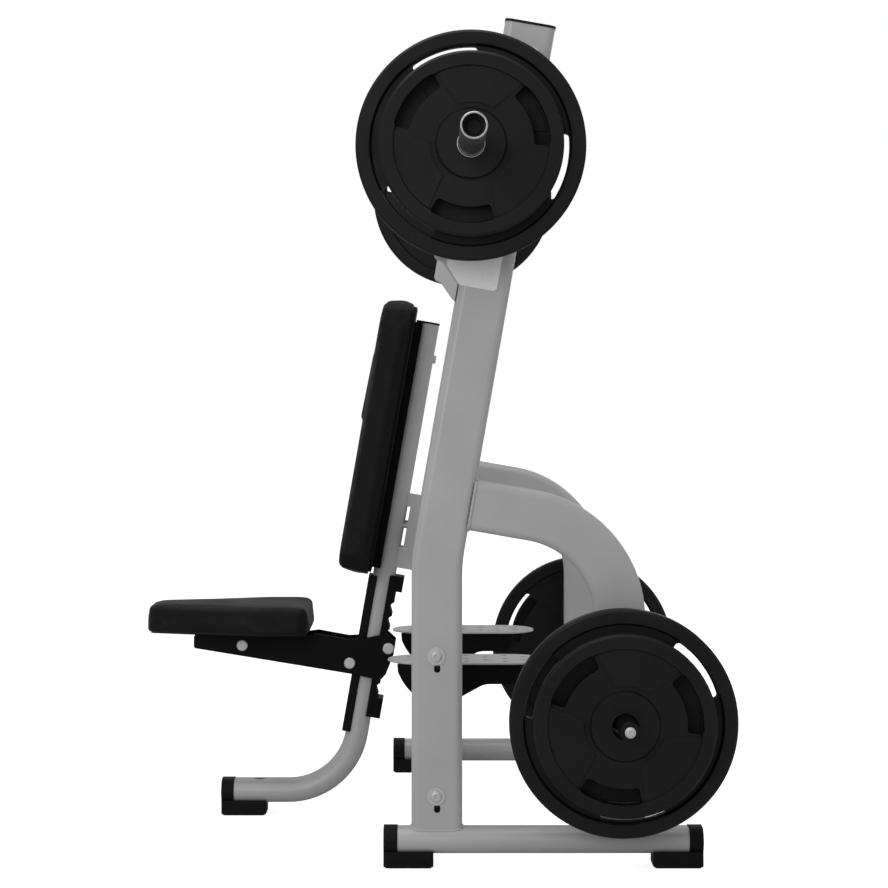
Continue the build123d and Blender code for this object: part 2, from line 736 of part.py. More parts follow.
def grip_slots(radius, width, span, turn, middle_plane, half):
    # three slots along a ring, with rounded corners
    with BuildSketch(middle_plane) as slots:
        for k in range(3):
            with BuildLine():
                ring_sector(radius - width / 2, radius + width / 2, turn + 120 * k, span / 2, span / 2)
            make_face()
        fillet(slots.vertices(), 7)
    extrude(slots.sketch, amount=half, both=True, mode=Mode.SUBTRACT)


def weight_plate(name, x, z, sign, start, outer_r, thick, web, rim_width, hub_r, slots, turn, panels):
    # turned disc with a thick hub and rim, three grip slots, and raised fans between them
    middle = start + thick / 2
    half, thin = thick / 2, web / 2
    rim_in = outer_r - rim_width
    profile = (
        (plate_bore_r, -half), (hub_r, -half), (hub_r + 4, -thin), (rim_in - 4, -thin), (rim_in, -half),
        (outer_r - 5, -half), (outer_r, -half + 5), (outer_r, half - 5), (outer_r - 5, half),
        (rim_in, half), (rim_in - 4, thin), (hub_r + 4, thin), (hub_r, half), (plate_bore_r, half),
    )  # fmt: skip
    with BuildPart() as plate:
        turned([(r, sign * (middle + y)) for r, y in profile], x, z)
        slot_r, slot_width, slot_span = slots
        face = Plane(origin=(x, sign * middle, z), x_dir=(1, 0, 0), z_dir=(0, -1, 0))
        if panels:
            panel_in, panel_out, in_half, out_half, rise = panels
            with BuildSketch(face):
                for k in range(3):
                    with BuildLine():
                        ring_sector(panel_in, panel_out, turn + 60 + 120 * k, in_half, out_half)
                    make_face()
            extrude(amount=thin + rise, both=True)
        grip_slots(slot_r, slot_width, slot_span, turn, face, half)
    keep(plate, name)


large_slots, small_slots = (174.0, 37.0, 41.0), (138.0, 32.0, 49.0)
small_panels = (80.0, 150.0, 25.0, 33.5, 3.0)
large_panels = (76.0, 150.0, 27.0, 36.0, 3.0)
for side, sign in sides:
    bar_turn = 106.5 if side == "left" else 35.0
    weight_plate(
        f"bar_plate_large_{side}", bar_x, bar_z, sign, sleeve_start + plate_gap, large_r, large_thick,
        18.0, 27.0, 62.0, large_slots, bar_turn, large_panels,
    )  # fmt: skip
    weight_plate(
        f"bar_plate_small_{side}", bar_x, bar_z, sign, sleeve_start + large_thick + 2 * plate_gap,
        small_r, small_thick, 20.0, 28.0, 66.0, small_slots, 143.0, small_panels,
    )  # fmt: skip
    hang = plate_bore_r - horn_r - plate_gap
    weight_plate(
        f"stored_plate_large_{side}", horn_x, horn_z - hang, sign, 647.0, large_r, large_thick,
        18.0, 27.0, 62.0, large_slots, 36.2, large_panels,
    )  # fmt: skip
    weight_plate(
        f"stored_plate_small_{side}", horn_x, horn_z - hang, sign, 647.0 + large_thick + plate_gap,
        small_r, small_thick, 20.0, 28.0, 66.0, small_slots, 138.5, small_panels,
    )  # fmt: skip
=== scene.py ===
import bpy
import bmesh
import json
import numpy as np
from math import cos, pi, radians, sin
from mathutils import Matrix, Vector


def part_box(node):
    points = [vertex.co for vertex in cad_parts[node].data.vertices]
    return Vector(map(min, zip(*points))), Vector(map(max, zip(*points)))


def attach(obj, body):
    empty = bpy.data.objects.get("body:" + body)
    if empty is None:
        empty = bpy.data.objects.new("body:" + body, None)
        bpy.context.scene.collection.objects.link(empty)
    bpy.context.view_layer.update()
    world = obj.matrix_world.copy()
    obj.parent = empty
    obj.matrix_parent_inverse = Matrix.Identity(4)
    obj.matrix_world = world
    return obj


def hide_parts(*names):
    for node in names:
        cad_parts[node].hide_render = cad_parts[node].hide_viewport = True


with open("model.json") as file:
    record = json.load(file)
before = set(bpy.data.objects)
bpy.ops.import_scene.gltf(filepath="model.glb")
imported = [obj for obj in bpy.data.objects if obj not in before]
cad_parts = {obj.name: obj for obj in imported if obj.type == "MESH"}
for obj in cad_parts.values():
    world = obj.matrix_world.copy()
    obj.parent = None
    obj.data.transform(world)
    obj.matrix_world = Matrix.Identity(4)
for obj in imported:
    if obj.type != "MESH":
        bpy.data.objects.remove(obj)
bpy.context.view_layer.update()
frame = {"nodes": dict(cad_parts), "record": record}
scene = bpy.context.scene
nodes = frame["nodes"]
print("frame loaded:", len(nodes), "nodes")

# camera, light and floor
view = {"place": (0.0232, -5.4, 0.992), "lens": 97.46, "shift": (0.0101, -0.0822)}
camera = bpy.data.objects.new("camera", bpy.data.cameras.new("camera"))
camera.data.lens = view["lens"]
camera.data.sensor_width = 36
camera.location = view["place"]
camera.data.shift_x, camera.data.shift_y = view["shift"]
camera.rotation_euler = (radians(90), 0, 0)
scene.collection.objects.link(camera)
scene.camera = camera
scene.view_settings.view_transform = "Standard"

lamps = {  # place, where it points, size, watts
    "overhead": ((-0.6, -0.4, 3.8), (0, 0, 0.6), 2.6, 38),
    "fill": ((-1.6, -4.6, 2.2), (0, 0, 0.8), 2.0, 36),
    "rearFill": ((2.6, 3.4, 2.2), (0, 0, 0.8), 2.2, 22),
}
for name, (spot, target, size, watts) in lamps.items():
    lamp = bpy.data.lights.new(name, "AREA")
    lamp.size = size
    lamp.energy = watts
    holder = bpy.data.objects.new(name, lamp)
    holder.location = spot
    holder.rotation_euler = (Vector(target) - Vector(spot)).to_track_quat("-Z", "Y").to_euler()
    scene.collection.objects.link(holder)

# the backdrop is white to the camera and a softer grey to the object
studio = {"seen": 1.0, "lit": 0.45}
world = bpy.data.worlds.new("studio")
world.use_nodes = True
worldTree = world.node_tree
backdrop = worldTree.nodes["Background"]
seenRay = worldTree.nodes.new("ShaderNodeLightPath")
level = worldTree.nodes.new("ShaderNodeMapRange")
level.inputs["To Min"].default_value = studio["lit"]
level.inputs["To Max"].default_value = studio["seen"]
backdrop.inputs[0].default_value = (1, 1, 1, 1)
worldTree.links.new(seenRay.outputs["Is Camera Ray"], level.inputs["Value"])
worldTree.links.new(level.outputs["Result"], backdrop.inputs[1])
scene.world = world

floorMesh = bpy.data.meshes.new("floor")
floorMesh.from_pydata([(-30, -30, 0), (30, -30, 0), (30, 30, 0), (-30, 30, 0)], [], [(0, 1, 2, 3)])
floor = bpy.data.objects.new("floor", floorMesh)
scene.collection.objects.link(floor)
print("camera, lights and floor placed")


# shader helpers
def addNode(tree, kind, values=None, **settings):
    node = tree.nodes.new("ShaderNode" + kind)
    for key, value in settings.items():
        setattr(node, key, value)
    for key, value in (values or {}).items():
        node.inputs[key].default_value = value
    return node


def newGroup(name, inputs, outputs):
    group = bpy.data.node_groups.new(name, "ShaderNodeTree")
    for label, value in inputs.items():
        socket = group.interface.new_socket(label, in_out="INPUT", socket_type="NodeSocketFloat")
        socket.default_value = value
    for label, kind in outputs.items():
        group.interface.new_socket(label, in_out="OUTPUT", socket_type="NodeSocket" + kind)
    return group, group.nodes.new("NodeGroupInput"), group.nodes.new("NodeGroupOutput")


def makeSpeckle():
    # soft noise between two levels
    inputs = {"Scale": 40, "Detail": 3, "Low": 0, "High": 1}
    group, start, end = newGroup("speckle", inputs, {"Value": "Float"})
    place = addNode(group, "TexCoord")
    noise = addNode(group, "TexNoise")
    spread = addNode(group, "MapRange", {"From Min": 0.3, "From Max": 0.7})
    group.links.new(place.outputs["Object"], noise.inputs["Vector"])
    group.links.new(start.outputs["Scale"], noise.inputs["Scale"])
    group.links.new(start.outputs["Detail"], noise.inputs["Detail"])
    group.links.new(noise.outputs["Fac"], spread.inputs["Value"])
    group.links.new(start.outputs["Low"], spread.inputs["To Min"])
    group.links.new(start.outputs["High"], spread.inputs["To Max"])
    group.links.new(spread.outputs["Result"], end.inputs["Value"])
    return group


def makeEdgeMask():
    # 1 on edges that hands and plates rub, broken up by noise
    group, start, end = newGroup("edgeMask", {"Radius": 0.003, "Broken": 30}, {"Mask": "Float"})
    rounded = addNode(group, "Bevel", samples=6)
    flat = addNode(group, "NewGeometry")
    turn = addNode(group, "VectorMath", operation="DOT_PRODUCT")
    sharp = addNode(group, "MapRange", {"From Min": 0.995, "From Max": 0.88})
    place = addNode(group, "TexCoord")
    noise = addNode(group, "TexNoise", {"Detail": 4})
    patch = addNode(group, "MapRange", {"From Min": 0.42, "From Max": 0.62})
    both = addNode(group, "Math", operation="MULTIPLY")
    group.links.new(start.outputs["Radius"], rounded.inputs["Radius"])
    group.links.new(rounded.outputs["Normal"], turn.inputs[0])
    group.links.new(flat.outputs["Normal"], turn.inputs[1])
    group.links.new(turn.outputs["Value"], sharp.inputs["Value"])
    group.links.new(place.outputs["Object"], noise.inputs["Vector"])
    group.links.new(start.outputs["Broken"], noise.inputs["Scale"])
    group.links.new(noise.outputs["Fac"], patch.inputs["Value"])
    group.links.new(sharp.outputs["Result"], both.inputs[0])
    group.links.new(patch.outputs["Result"], both.inputs[1])
    group.links.new(both.outputs["Value"], end.inputs["Mask"])
    return group


def makeHide():
    # vinyl grain: small cells with soft creases between them
    group, start, end = newGroup("hide", {"Scale": 420}, {"Height": "Float"})
    place = addNode(group, "TexCoord")
    wobble = addNode(group, "TexNoise", {"Scale": 60, "Detail": 2})
    shift = addNode(group, "MixRGB", {"Fac": 0.06})
    cells = addNode(group, "TexVoronoi", feature="DISTANCE_TO_EDGE")
    crease = addNode(group, "MapRange", {"From Min": 0.0, "From Max": 0.22})
    group.links.new(place.outputs["Object"], wobble.inputs["Vector"])
    group.links.new(place.outputs["Object"], shift.inputs["Color1"])
    group.links.new(wobble.outputs["Color"], shift.inputs["Color2"])
    group.links.new(shift.outputs["Color"], cells.inputs["Vector"])
    group.links.new(start.outputs["Scale"], cells.inputs["Scale"])
    group.links.new(cells.outputs["Distance"], crease.inputs["Value"])
    group.links.new(crease.outputs["Result"], end.inputs["Height"])
    return group


def makeKnurl():
    # diamond grip cut into the bar in bands, with plain bands between them
    inputs = {"Pitch": 0.0016, "From": 0.1, "To": 0.6}
    group, start, end = newGroup("knurl", inputs, {"Height": "Float"})
    place = addNode(group, "TexCoord")
    split = addNode(group, "SeparateXYZ")
    group.links.new(place.outputs["Object"], split.inputs["Vector"])
    away = addNode(group, "VectorMath", {1: (barMiddle.x, 0, barMiddle.z)}, operation="SUBTRACT")
    flat = addNode(group, "SeparateXYZ")
    group.links.new(place.outputs["Object"], away.inputs[0])
    group.links.new(away.outputs["Vector"], flat.inputs["Vector"])
    turn = addNode(group, "Math", operation="ARCTAN2")
    group.links.new(flat.outputs["X"], turn.inputs[0])
    group.links.new(flat.outputs["Z"], turn.inputs[1])
    around = addNode(group, "Math", {1: barRadius}, operation="MULTIPLY")
    group.links.new(turn.outputs["Value"], around.inputs[0])
    waves = []
    for sense in ("ADD", "SUBTRACT"):
        mixed = addNode(group, "Math", operation=sense)
        scaled = addNode(group, "Math", operation="DIVIDE")
        ridge = addNode(group, "Math", {1: 1.0}, operation="PINGPONG")
        group.links.new(split.outputs["Y"], mixed.inputs[0])
        group.links.new(around.outputs["Value"], mixed.inputs[1])
        group.links.new(mixed.outputs["Value"], scaled.inputs[0])
        group.links.new(start.outputs["Pitch"], scaled.inputs[1])
        group.links.new(scaled.outputs["Value"], ridge.inputs[0])
        waves.append(ridge)
    both = addNode(group, "Math", operation="MULTIPLY")
    side = addNode(group, "Math", operation="ABSOLUTE")
    after = addNode(group, "Math", operation="GREATER_THAN")
    before = addNode(group, "Math", operation="LESS_THAN")
    band = addNode(group, "Math", operation="MULTIPLY")
    cut = addNode(group, "Math", operation="MULTIPLY")
    group.links.new(waves[0].outputs["Value"], both.inputs[0])
    group.links.new(waves[1].outputs["Value"], both.inputs[1])
    group.links.new(split.outputs["Y"], side.inputs[0])
    for test, edge in ((after, "From"), (before, "To")):
        group.links.new(side.outputs["Value"], test.inputs[0])
        group.links.new(start.outputs[edge], test.inputs[1])
    group.links.new(after.outputs["Value"], band.inputs[0])
    group.links.new(before.outputs["Value"], band.inputs[1])
    group.links.new(both.outputs["Value"], cut.inputs[0])
    group.links.new(band.outputs["Value"], cut.inputs[1])
    group.links.new(cut.outputs["Value"], end.inputs["Height"])
    return group


barMiddle = (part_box("bar_shaft")[0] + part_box("bar_shaft")[1]) / 2
barRadius = 0.014
speckleGroup, edgeGroup = makeSpeckle(), makeEdgeMask()
hideGroup, knurlGroup = makeHide(), makeKnurl()


def useGroup(tree, group, **values):
    node = tree.nodes.new("ShaderNodeGroup")
    node.node_tree = group
    for key, value in values.items():
        node.inputs[key].default_value = value
    return node


# finishes: the colours are linear greys, and "rough" runs from the smoothest to the roughest spot
finishes = {
    "silver_paint": {"dark": 0.50, "light": 0.55, "rough": (0.36, 0.48), "metal": 0.1, "grain": 900,
                     "bump": 0.05, "worn": 0.62, "wear": 0.3, "coat": 0.15, "shine": 0.4},
    "black_paint": {"dark": 0.0016, "light": 0.003, "rough": (0.42, 0.56), "metal": 0.0, "grain": 1100,
                    "bump": 0.12, "worn": 0.02, "wear": 0.5, "coat": 0.0, "shine": 0.12},
    "guard_panel": {"dark": 0.95, "light": 0.98, "rough": (0.3, 0.42), "metal": 0.0, "grain": 600,
                    "bump": 0.03, "worn": 0.95, "wear": 0.3, "coat": 0.1, "shine": 0.4},
    "plate_iron": {"dark": 0.006, "light": 0.010, "rough": (0.42, 0.58), "metal": 0.0, "grain": 260,
                   "bump": 0.16, "worn": 0.03, "wear": 0.6, "coat": 0.0, "shine": 0.22},
    "chrome_bar": {"dark": 0.62, "light": 0.66, "rough": (0.22, 0.26), "metal": 1.0, "grain": 1500,
                   "bump": 0.0, "worn": 0.6, "wear": 0.0, "coat": 0.0, "shine": 0.5},
    "zinc_steel": {"dark": 0.62, "light": 0.70, "rough": (0.34, 0.48), "metal": 0.5, "grain": 1500,
                   "bump": 0.05, "worn": 0.8, "wear": 0.4, "coat": 0.0, "shine": 0.5},
    "cap_plastic": {"dark": 0.003, "light": 0.006, "rough": (0.45, 0.6), "metal": 0.0, "grain": 1300,
                    "bump": 0.15, "worn": 0.02, "wear": 0.4, "coat": 0.0, "shine": 0.2},
    "foot_rubber": {"dark": 0.003, "light": 0.006, "rough": (0.6, 0.8), "metal": 0.0, "grain": 800,
                    "bump": 0.2, "worn": 0.02, "wear": 0.5, "coat": 0.0, "shine": 0.2},
    "liner_plastic": {"dark": 0.0016, "light": 0.003, "rough": (0.38, 0.5), "metal": 0.0, "grain": 700,
                      "bump": 0.05, "worn": 0.02, "wear": 0.5, "coat": 0.0, "shine": 0.15},
    "board_black": {"dark": 0.002, "light": 0.004, "rough": (0.6, 0.7), "metal": 0.0, "grain": 90,
                    "bump": 0.2, "worn": 0.02, "wear": 0.2, "coat": 0.0, "shine": 0.1},
}  # fmt: skip


def paintedFinish(name, look):
    material = bpy.data.materials.new(name)
    material.use_nodes = True
    tree = material.node_tree
    shader = tree.nodes["Principled BSDF"]
    shader.inputs["Metallic"].default_value = look["metal"]
    shader.inputs["Coat Weight"].default_value = look["coat"]
    shader.inputs["Specular IOR Level"].default_value = look["shine"]
    shader.inputs["Coat Roughness"].default_value = 0.25
    shade = useGroup(tree, speckleGroup, Scale=7, Detail=5, Low=0, High=1)
    body = addNode(tree, "MixRGB")
    body.inputs["Color1"].default_value = (look["dark"],) * 3 + (1,)
    body.inputs["Color2"].default_value = (look["light"],) * 3 + (1,)
    edge = useGroup(tree, edgeGroup, Radius=0.0022, Broken=26)
    strength = addNode(tree, "Math", {1: look["wear"]}, operation="MULTIPLY")
    worn = addNode(tree, "MixRGB")
    worn.inputs["Color2"].default_value = (look["worn"],) * 3 + (1,)
    smoothest, roughest = look["rough"]
    sheen = useGroup(tree, speckleGroup, Scale=11, Detail=4, Low=smoothest, High=roughest)
    grain = useGroup(tree, speckleGroup, Scale=look["grain"], Detail=2, Low=0, High=1)
    bump = addNode(tree, "Bump", {"Strength": look["bump"], "Distance": 0.0006})
    soft = addNode(tree, "Bevel", {"Radius": 0.0012}, samples=4)
    tree.links.new(shade.outputs["Value"], body.inputs["Fac"])
    tree.links.new(edge.outputs["Mask"], strength.inputs[0])
    tree.links.new(strength.outputs["Value"], worn.inputs["Fac"])
    tree.links.new(body.outputs["Color"], worn.inputs["Color1"])
    tree.links.new(worn.outputs["Color"], shader.inputs["Base Color"])
    tree.links.new(sheen.outputs["Value"], shader.inputs["Roughness"])
    tree.links.new(grain.outputs["Value"], bump.inputs["Height"])
    tree.links.new(soft.outputs["Normal"], bump.inputs["Normal"])
    tree.links.new(bump.outputs["Normal"], shader.inputs["Normal"])
    return material


vinyl = {"dark": 0.0018, "light": 0.004, "sheen": 0.03, "shine": 0.19, "rough": (0.46, 0.6), "grain": 420,
         "grainDepth": 0.0005, "wrinkle": 30, "wrinkleDepth": 0.002}  # fmt: skip


def vinylFinish(name):
    material = bpy.data.materials.new(name)
    material.use_nodes = True
    tree = material.node_tree
    shader = tree.nodes["Principled BSDF"]
    shader.inputs["Sheen Weight"].default_value = vinyl["sheen"]
    shader.inputs["Specular IOR Level"].default_value = vinyl["shine"]
    shade = useGroup(tree, speckleGroup, Scale=5, Detail=5, Low=0, High=1)
    body = addNode(tree, "MixRGB")
    body.inputs["Color1"].default_value = (vinyl["dark"],) * 3 + (1,)
    body.inputs["Color2"].default_value = (vinyl["light"],) * 3 + (1,)
    smoothest, roughest = vinyl["rough"]
    sheen = useGroup(tree, speckleGroup, Scale=9, Detail=4, Low=smoothest, High=roughest)
    hide = useGroup(tree, hideGroup, Scale=vinyl["grain"])
    wrinkle = useGroup(tree, speckleGroup, Scale=vinyl["wrinkle"], Detail=3, Low=0, High=1)
    bump = addNode(tree, "Bump", {"Strength": 0.22, "Distance": vinyl["grainDepth"]})
    broad = addNode(tree, "Bump", {"Strength": 0.12, "Distance": vinyl["wrinkleDepth"]})
    tree.links.new(shade.outputs["Value"], body.inputs["Fac"])
    tree.links.new(body.outputs["Color"], shader.inputs["Base Color"])
    tree.links.new(sheen.outputs["Value"], shader.inputs["Roughness"])
    tree.links.new(wrinkle.outputs["Value"], broad.inputs["Height"])
    tree.links.new(hide.outputs["Height"], bump.inputs["Height"])
    tree.links.new(broad.outputs["Normal"], bump.inputs["Normal"])
    tree.links.new(bump.outputs["Normal"], shader.inputs["Normal"])
    return material


# the grip bands start and end this far from the middle of the bar
knurling = {"first": 0.12, "last": 0.56, "depth": 0.0004}


def cutKnurl(material):
    tree = material.node_tree
    shader = tree.nodes["Principled BSDF"]
    under = shader.inputs["Normal"].links[0].from_socket
    knurl = useGroup(tree, knurlGroup, **{"From": knurling["first"], "To": knurling["last"]})
    bump = addNode(tree, "Bump", {"Strength": 0.9, "Distance": knurling["depth"]})
    tree.links.new(knurl.outputs["Height"], bump.inputs["Height"])
    tree.links.new(under, bump.inputs["Normal"])
    tree.links.new(bump.outputs["Normal"], shader.inputs["Normal"])


materials = {name: paintedFinish(name, look) for name, look in finishes.items()}
materials["upholstery"] = vinylFinish("upholstery")
materials["knurled_bar"] = paintedFinish("knurled_bar", finishes["chrome_bar"])
cutKnurl(materials["knurled_bar"])

paleFloor = {"colour": 0.62, "glow": 0.86}  # the glow is seen by the camera and lights nothing
floorFinish = bpy.data.materials.new("paleFloor")
floorFinish.use_nodes = True
floorTree = floorFinish.node_tree
floorShader = floorTree.nodes["Principled BSDF"]
floorShader.inputs["Base Color"].default_value = (paleFloor["colour"],) * 3 + (1,)
floorShader.inputs["Roughness"].default_value = 0.9
floorShader.inputs["Specular IOR Level"].default_value = 0.0
floorShader.inputs["Emission Strength"].default_value = 1
floorSeen = addNode(floorTree, "LightPath")
floorLift = addNode(floorTree, "MixRGB", {"Color1": (0, 0, 0, 1)})
floorLift.inputs["Color2"].default_value = (paleFloor["glow"],) * 3 + (1,)
floorTree.links.new(floorSeen.outputs["Is Camera Ray"], floorLift.inputs["Fac"])
floorTree.links.new(floorLift.outputs["Color"], floorShader.inputs["Emission Color"])
floorMesh.materials.append(floorFinish)

for part in frame["record"]["subparts"]:
    cadMesh = nodes[part["node"]]
    cadMesh.data.materials.clear()
    cadMesh.data.materials.append(materials[part["material_slot"]])
nodes["bar_shaft"].data.materials[0] = materials["knurled_bar"]
print("finishes made:", len(materials))


# shape helpers
lean = radians(9.9)
# columns: back, across, up
leanAxes = Matrix(((cos(lean), 0, sin(lean)), (0, 1, 0), (-sin(lean), 0, cos(lean))))


def leanBox(node):
    # lowest and highest corner of a node along the leaning axes
    points = np.array([leanAxes.transposed() @ v.co for v in nodes[node].data.vertices])
    return points.min(0), points.max(0)


def meshObject(name, vertices, faces, finish, body):
    mesh = bpy.data.meshes.new(name)
    mesh.from_pydata([tuple(v) for v in vertices], [], faces)
    mesh.update()
    piece = bpy.data.objects.new(name, mesh)
    scene.collection.objects.link(piece)
    mesh.materials.append(materials[finish])
    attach(piece, body)
    return piece


def shadeSmooth(piece):
    for face in piece.data.polygons:
        face.use_smooth = True


def applyModifiers(piece):
    bpy.context.view_layer.objects.active = piece
    for modifier in list(piece.modifiers):
        bpy.ops.object.modifier_apply(modifier=modifier.name)


def mergePoints(piece, gap):
    shape = bmesh.new()
    shape.from_mesh(piece.data)
    bmesh.ops.remove_doubles(shape, verts=shape.verts, dist=gap)
    shape.to_mesh(piece.data)
    shape.free()


def roundedOutline(corners, radii, steps=7):
    # a closed outline with a round arc at each corner
    points = []
    count = len(corners)
    for index in range(count):
        here = Vector(corners[index])
        before = (Vector(corners[index - 1]) - here).normalized()
        after = (Vector(corners[(index + 1) % count]) - here).normalized()
        half = before.angle(after) / 2
        reach = radii[index] / np.tan(half)
        centre = here + (before + after).normalized() * (radii[index] / sin(half))
        first = here + before * reach - centre
        turn = first.angle_signed(here + after * reach - centre)
        for step in range(steps + 1):
            spin = Matrix.Rotation(-turn * step / steps, 2)
            points.append(centre + spin @ first)
    return points


# upholstered pads
def padBlank(name, outline, low, high, toWorld):
    # closed prism over an outline
    bm = bmesh.new()
    ring = [bm.verts.new((p.x, p.y, low)) for p in outline]
    base = bm.faces.new(ring)
    grown = bmesh.ops.extrude_face_region(bm, geom=[base])
    for vertex in [g for g in grown["geom"] if isinstance(g, bmesh.types.BMVert)]:
        vertex.co.z = high
    bmesh.ops.recalc_face_normals(bm, faces=bm.faces)
    bm.transform(toWorld)
    mesh = bpy.data.meshes.new(name)
    bm.to_mesh(mesh)
    bm.free()
    piece = bpy.data.objects.new(name, mesh)
    scene.collection.objects.link(piece)
    return piece


def smoothPass(coords, edges, weight, rounds):
    for _ in range(rounds):
        total = np.zeros_like(coords)
        count = np.zeros(len(coords))
        for a, b in ((0, 1), (1, 0)):
            np.add.at(total, edges[:, a], coords[edges[:, b]])
            np.add.at(count, edges[:, a], 1)
        coords = coords + weight * (total / count[:, None] - coords)
    return coords


def stuffPad(piece, settings, toWorld):
    # remesh, swell under pressure with the board side held, then cap how far any point moved
    remesh = piece.modifiers.new("remesh", "REMESH")
    remesh.mode = "VOXEL"
    remesh.voxel_size = settings["voxel"]
    applyModifiers(piece)
    mesh = piece.data
    start = np.array([v.co for v in mesh.vertices])
    inverse = np.array(toWorld.inverted())
    local = start @ inverse[:3, :3].T + inverse[:3, 3]
    held = piece.vertex_groups.new(name="held")
    nearBoard = local[:, 2] < settings["low"] + settings["heldDepth"]
    held.add([int(i) for i in np.flatnonzero(nearBoard)], 1.0, "REPLACE")
    cloth = piece.modifiers.new("cloth", "CLOTH")
    cloth.settings.quality = 5
    cloth.settings.mass = 0.3
    cloth.settings.tension_stiffness = settings["stiffness"]
    cloth.settings.compression_stiffness = settings["stiffness"]
    cloth.settings.bending_stiffness = 1.5
    cloth.settings.use_pressure = True
    cloth.settings.uniform_pressure_force = settings["pressure"]
    cloth.settings.vertex_group_mass = "held"
    cloth.settings.effector_weights.gravity = 0
    cloth.collision_settings.use_collision = False
    cloth.collision_settings.use_self_collision = False
    cloth.point_cache.frame_start, cloth.point_cache.frame_end = 1, 20
    for step in range(1, 21):
        scene.frame_set(step)
    applyModifiers(piece)
    scene.frame_set(1)
    end = np.array([v.co for v in piece.data.vertices])
    move = end - start
    distance = np.linalg.norm(move, axis=1)
    limit = np.minimum(1.0, settings["cap"] / np.maximum(distance, 1e-9))
    end = start + move * limit[:, None]
    edges = np.array([e.vertices[:] for e in piece.data.edges])
    end = smoothPass(end, edges, 0.5, settings["smooth"])
    return end, inverse


def finishPad(piece, coords, settings, toWorld, inverse, outline, extra):
    # a seam, a crown and any extra shape are pressed into the stuffed surface, in the pad's own axes
    local = coords @ inverse[:3, :3].T + inverse[:3, 3]
    loop = np.array([(p.x, p.y) for p in outline])
    ahead = np.roll(loop, -1, axis=0)
    along = ahead - loop
    lengths = np.maximum((along**2).sum(1), 1e-12)
    rel = local[:, None, :2] - loop[None]
    share = np.clip((rel * along[None]).sum(2) / lengths[None], 0, 1)
    gaps = rel - share[..., None] * along[None]
    inset = np.sqrt((gaps**2).sum(2)).min(1)
    depth = settings["high"] - settings["low"]
    height = (local[:, 2] - settings["low"]) / depth
    crown = np.clip(inset / settings["crownReach"], 0, 1)
    local[:, 2] += settings["crown"] * (1 - (1 - crown) ** 2) * np.clip(height, 0, 1) ** 3
    seam = inset - settings["seamInset"]
    groove = np.exp(-((seam / settings["seamWidth"]) ** 2)) * (height > 0.8)
    local[:, 2] -= settings["seamDepth"] * groove
    if extra is not None:
        local = extra(local, inset, height)
    matrix = np.array(toWorld)
    world = local @ matrix[:3, :3].T + matrix[:3, 3]
    piece.data.vertices.foreach_set("co", world.astype(np.float32).ravel())
    piece.data.update()
    divide = piece.modifiers.new("divide", "SUBSURF")
    divide.levels = divide.render_levels = 1
    applyModifiers(piece)
    shadeSmooth(piece)


def makePad(name, node, body, outline, settings, toWorld, extra=None):
    # "shrink" leaves room for the foam to swell
    blank = padBlank(name, outline, settings["low"], settings["high"] - settings["shrink"], toWorld)
    coords, inverse = stuffPad(blank, settings, toWorld)
    finishPad(blank, coords, settings, toWorld, inverse, outline, extra)
    blank.data.materials.clear()
    blank.data.materials.append(materials["upholstery"])
    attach(blank, body)
    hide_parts(node)
    print(name, "stuffed:", len(blank.data.vertices), "points")
    return blank


seatLow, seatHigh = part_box("seat_pad")
seatSet = {"voxel": 0.005, "low": seatLow.z, "high": seatHigh.z, "shrink": 0.003,
           "heldDepth": 0.006, "stiffness": 30, "pressure": 3.0, "cap": 0.003, "smooth": 1,
           "crown": 0.003, "crownReach": 0.06, "seamInset": 0.004, "seamWidth": 0.003,
           "seamDepth": 0.0015, "corners": (0.022, 0.08, 0.03, 0.03, 0.08, 0.022)}  # fmt: skip
noseHalf, taperStart = 0.060, 0.108
edgeGap = 0.002  # the pad's outline starts this far inside the plain one
seatCorners = [
    (seatHigh.x - edgeGap, seatHigh.y - edgeGap), (seatHigh.x - taperStart, seatHigh.y - edgeGap),
    (seatLow.x + edgeGap, noseHalf), (seatLow.x + edgeGap, -noseHalf),
    (seatHigh.x - taperStart, seatLow.y + edgeGap), (seatHigh.x - edgeGap, seatLow.y + edgeGap),
]  # fmt: skip
seatOutline = roundedOutline(seatCorners, seatSet["corners"])
seatPad = makePad("seatPad", "seat_pad", "seat_arm", seatOutline, seatSet, Matrix.Identity(4))

backLow, backHigh = leanBox("back_pad")
backSet = {"voxel": 0.005, "low": -backHigh[0], "high": -backLow[0], "shrink": 0.004,
           "heldDepth": 0.008, "stiffness": 30, "pressure": 3.0, "cap": 0.004, "smooth": 1,
           "crown": 0.004, "crownReach": 0.08, "seamInset": 0.006, "seamWidth": 0.003,
           "seamDepth": 0.0015, "corner": 0.038}  # fmt: skip
backCorners = [
    (backHigh[1] - edgeGap, backLow[2] + edgeGap), (backHigh[1] - edgeGap, backHigh[2] - edgeGap),
    (backLow[1] + edgeGap, backHigh[2] - edgeGap), (backLow[1] + edgeGap, backLow[2] + edgeGap),
]  # fmt: skip
backOutline = roundedOutline(backCorners, (backSet["corner"],) * 4)
# pad axes: x across, y up the post, z towards the user
backFrame = Matrix((
    (0, sin(lean), -cos(lean), 0), (1, 0, 0, 0), (0, cos(lean), sin(lean), 0), (0, 0, 0, 1)
))  # fmt: skip
lumbar = {"low": 0.851, "high": 0.995, "half": 0.108, "step": 0.0046, "fade": 0.0012,
          "edge": 0.005}  # fmt: skip


